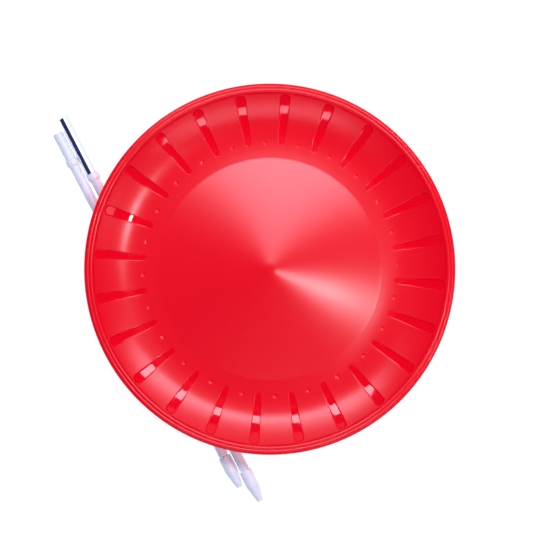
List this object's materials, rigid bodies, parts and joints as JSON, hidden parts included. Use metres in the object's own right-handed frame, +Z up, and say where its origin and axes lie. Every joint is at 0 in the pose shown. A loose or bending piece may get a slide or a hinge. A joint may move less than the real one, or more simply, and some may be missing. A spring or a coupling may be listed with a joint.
{
  "type": "juggling spinning plate with two-part stick",
  "caption": "Shallow round spinning plate with a grooved flank and foot ring, and its stick taken apart into halves with a coupling sleeve.",
  "frame": {"origin": "on the plate's axis, in the plane of its foot ring's resting face", "axes": "+Z up along the plate's axis, out of the dish; the stick halves lie in a line 62.7 degrees clockwise from +X"},
  "size_m": [0.2632, 0.2737, 0.0279],
  "materials": {
    "red_plastic": "fine matt moulded surface, polished in the grooves",
    "white_plastic": "semi-gloss moulded",
    "chrome": "bright plated"
  },
  "bodies": {
    "stick_half_a": {"stick_a_tip": "white_plastic", "stick_a_tube": "white_plastic", "stick_a_joint_plug": "white_plastic"},
    "sleeve": {"coupling_sleeve": "chrome"},
    "stick_half_b": {"stick_b_tip": "white_plastic", "stick_b_tube": "white_plastic", "stick_b_joint_plug": "white_plastic"},
    "plate": {"plate": "red_plastic"}
  },
  "joints": [
    {"name": "plate_spin", "type": "hinge", "parent": "stick_half_a", "child": "plate", "pos_m": [0, 0, 0], "axis": [0, 0, 1], "continuous": true},
    {"name": "sleeve_slide", "type": "slide", "parent": "stick_half_a", "child": "sleeve", "axis": [-0.4585, 0.8887, 0], "range_m": [0, 0.045]},
    {"name": "stick_half_b_slide", "type": "slide", "parent": "stick_half_a", "child": "stick_half_b", "axis": [-0.4585, 0.8887, 0], "range_m": [0, 0.2]}
  ]
}
